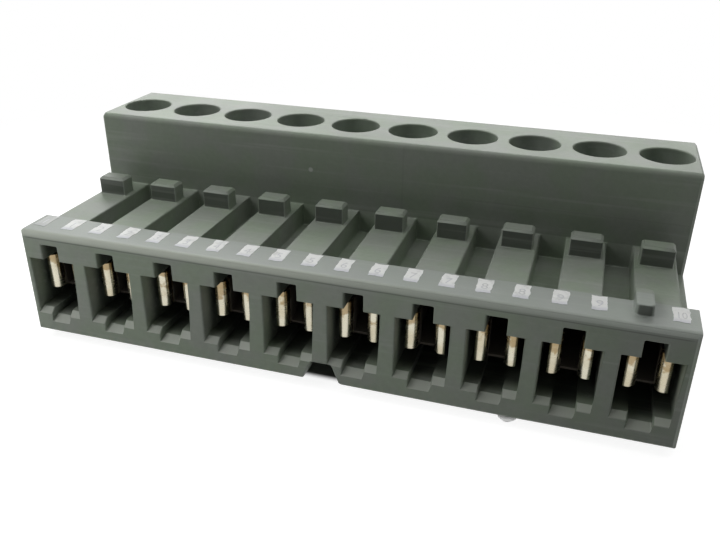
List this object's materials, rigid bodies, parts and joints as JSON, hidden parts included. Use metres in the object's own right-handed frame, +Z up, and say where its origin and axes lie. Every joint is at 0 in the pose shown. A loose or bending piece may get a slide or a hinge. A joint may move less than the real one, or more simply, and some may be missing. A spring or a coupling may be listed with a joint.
{
  "type": "pluggable terminal block",
  "caption": "Multi-pole plug for a pin header, with sprung socket contacts in cross-shaped cavities and rising-cage screw clamps for wires.",
  "frame": {"origin": "middle of the plug's length and depth, level with the tip of the peg under the front bar", "axes": "+X along the row of poles, +Y from the mating face to the wire side, +Z up towards the screws"},
  "size_m": [0.051, 0.0212, 0.0161],
  "materials": {
    "housing_plastic": "fine moulded matt, olive grey",
    "peg_plastic": "pale natural plastic",
    "contact_tin": "tin-plated copper alloy, bright",
    "cage_nickel": "nickel-plated brass, satin",
    "screw_zinc": "zinc-plated steel"
  },
  "bodies": {
    "plug_body": {"housing": "housing_plastic", "coding_peg": "peg_plastic", "contact_01": "contact_tin", "contact_02": "contact_tin", "contact_03": "contact_tin", "contact_04": "contact_tin", "contact_05": "contact_tin", "contact_06": "contact_tin", "contact_07": "contact_tin", "contact_08": "contact_tin", "contact_09": "contact_tin", "contact_10": "contact_tin"},
    "screw_01": {"clamp_screw_01": "screw_zinc"},
    "cage_01": {"clamp_cage_01": "cage_nickel"},
    "screw_02": {"clamp_screw_02": "screw_zinc"},
    "cage_02": {"clamp_cage_02": "cage_nickel"},
    "screw_03": {"clamp_screw_03": "screw_zinc"},
    "cage_03": {"clamp_cage_03": "cage_nickel"},
    "screw_04": {"clamp_screw_04": "screw_zinc"},
    "cage_04": {"clamp_cage_04": "cage_nickel"},
    "screw_05": {"clamp_screw_05": "screw_zinc"},
    "cage_05": {"clamp_cage_05": "cage_nickel"},
    "screw_06": {"clamp_screw_06": "screw_zinc"},
    "cage_06": {"clamp_cage_06": "cage_nickel"},
    "screw_07": {"clamp_screw_07": "screw_zinc"},
    "cage_07": {"clamp_cage_07": "cage_nickel"},
    "screw_08": {"clamp_screw_08": "screw_zinc"},
    "cage_08": {"clamp_cage_08": "cage_nickel"},
    "screw_09": {"clamp_screw_09": "screw_zinc"},
    "cage_09": {"clamp_cage_09": "cage_nickel"},
    "screw_10": {"clamp_screw_10": "screw_zinc"},
    "cage_10": {"clamp_cage_10": "cage_nickel"}
  },
  "joints": [
    {"name": "screw_turn_01", "type": "hinge", "parent": "plug_body", "child": "screw_01", "pos_m": [-0.02286, 0.0059, 0.01611], "axis": [0, 0, -1], "range_deg": [0, 1728]},
    {"name": "cage_rise_01", "type": "slide", "parent": "plug_body", "child": "cage_01", "axis": [0, 0, 1], "range_m": [0, 0.0024]},
    {"name": "screw_turn_02", "type": "hinge", "parent": "plug_body", "child": "screw_02", "pos_m": [-0.01778, 0.0059, 0.01611], "axis": [0, 0, -1], "range_deg": [0, 1728]},
    {"name": "cage_rise_02", "type": "slide", "parent": "plug_body", "child": "cage_02", "axis": [0, 0, 1], "range_m": [0, 0.0024]},
    {"name": "screw_turn_03", "type": "hinge", "parent": "plug_body", "child": "screw_03", "pos_m": [-0.0127, 0.0059, 0.01611], "axis": [0, 0, -1], "range_deg": [0, 1728]},
    {"name": "cage_rise_03", "type": "slide", "parent": "plug_body", "child": "cage_03", "axis": [0, 0, 1], "range_m": [0, 0.0024]},
    {"name": "screw_turn_04", "type": "hinge", "parent": "plug_body", "child": "screw_04", "pos_m": [-0.00762, 0.0059, 0.01611], "axis": [0, 0, -1], "range_deg": [0, 1728]},
    {"name": "cage_rise_04", "type": "slide", "parent": "plug_body", "child": "cage_04", "axis": [0, 0, 1], "range_m": [0, 0.0024]},
    {"name": "screw_turn_05", "type": "hinge", "parent": "plug_body", "child": "screw_05", "pos_m": [-0.00254, 0.0059, 0.01611], "axis": [0, 0, -1], "range_deg": [0, 1728]},
    {"name": "cage_rise_05", "type": "slide", "parent": "plug_body", "child": "cage_05", "axis": [0, 0, 1], "range_m": [0, 0.0024]},
    {"name": "screw_turn_06", "type": "hinge", "parent": "plug_body", "child": "screw_06", "pos_m": [0.00254, 0.0059, 0.01611], "axis": [0, 0, -1], "range_deg": [0, 1728]},
    {"name": "cage_rise_06", "type": "slide", "parent": "plug_body", "child": "cage_06", "axis": [0, 0, 1], "range_m": [0, 0.0024]},
    {"name": "screw_turn_07", "type": "hinge", "parent": "plug_body", "child": "screw_07", "pos_m": [0.00762, 0.0059, 0.01611], "axis": [0, 0, -1], "range_deg": [0, 1728]},
    {"name": "cage_rise_07", "type": "slide", "parent": "plug_body", "child": "cage_07", "axis": [0, 0, 1], "range_m": [0, 0.0024]},
    {"name": "screw_turn_08", "type": "hinge", "parent": "plug_body", "child": "screw_08", "pos_m": [0.0127, 0.0059, 0.01611], "axis": [0, 0, -1], "range_deg": [0, 1728]},
    {"name": "cage_rise_08", "type": "slide", "parent": "plug_body", "child": "cage_08", "axis": [0, 0, 1], "range_m": [0, 0.0024]},
    {"name": "screw_turn_09", "type": "hinge", "parent": "plug_body", "child": "screw_09", "pos_m": [0.01778, 0.0059, 0.01611], "axis": [0, 0, -1], "range_deg": [0, 1728]},
    {"name": "cage_rise_09", "type": "slide", "parent": "plug_body", "child": "cage_09", "axis": [0, 0, 1], "range_m": [0, 0.0024]},
    {"name": "screw_turn_10", "type": "hinge", "parent": "plug_body", "child": "screw_10", "pos_m": [0.02286, 0.0059, 0.01611], "axis": [0, 0, -1], "range_deg": [0, 1728]},
    {"name": "cage_rise_10", "type": "slide", "parent": "plug_body", "child": "cage_10", "axis": [0, 0, 1], "range_m": [0, 0.0024]}
  ],
  "couplings": [
    {"joint": "screw_turn_01", "follows": "cage_rise_01", "rad_per_m": 12566},
    {"joint": "screw_turn_02", "follows": "cage_rise_02", "rad_per_m": 12566},
    {"joint": "screw_turn_03", "follows": "cage_rise_03", "rad_per_m": 12566},
    {"joint": "screw_turn_04", "follows": "cage_rise_04", "rad_per_m": 12566},
    {"joint": "screw_turn_05", "follows": "cage_rise_05", "rad_per_m": 12566},
    {"joint": "screw_turn_06", "follows": "cage_rise_06", "rad_per_m": 12566},
    {"joint": "screw_turn_07", "follows": "cage_rise_07", "rad_per_m": 12566},
    {"joint": "screw_turn_08", "follows": "cage_rise_08", "rad_per_m": 12566},
    {"joint": "screw_turn_09", "follows": "cage_rise_09", "rad_per_m": 12566},
    {"joint": "screw_turn_10", "follows": "cage_rise_10", "rad_per_m": 12566}
  ]
}
